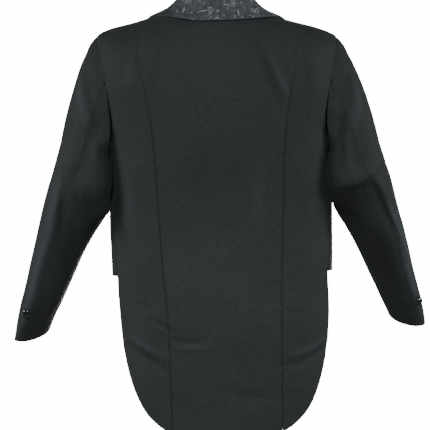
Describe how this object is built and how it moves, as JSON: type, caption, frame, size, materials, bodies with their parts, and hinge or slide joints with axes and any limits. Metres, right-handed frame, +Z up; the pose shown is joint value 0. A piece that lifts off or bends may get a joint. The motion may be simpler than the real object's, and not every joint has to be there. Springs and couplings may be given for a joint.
{
  "type": "tailcoat jacket",
  "caption": "Boy's black tailcoat jacket in its worn form, with a brocade shawl collar, a rounded tail, bent sleeves and shiny cuff buttons.",
  "frame": {"origin": "midway between the shoulders at the level of the neck's base, where the wearer's shoulders hold the coat up", "axes": "+Z up towards the collar, -Y the way the wearer faces, +X towards the wearer's left"},
  "size_m": [0.5751, 0.194, 0.624],
  "materials": {
    "suiting": "matte black suiting",
    "brocade": "silver-grey and black brocade",
    "button": "glossy"
  },
  "bodies": {
    "root": {"back_centre": "suiting", "back_side_left": "suiting", "back_side_right": "suiting", "front_left": "suiting", "front_right": "suiting", "top_sleeve_left": "suiting", "top_sleeve_right": "suiting", "under_sleeve_left": "suiting", "under_sleeve_right": "suiting", "shawl_collar": "brocade", "cuff_button_left": "button", "cuff_button_right": "button"}
  },
  "joints": []
}
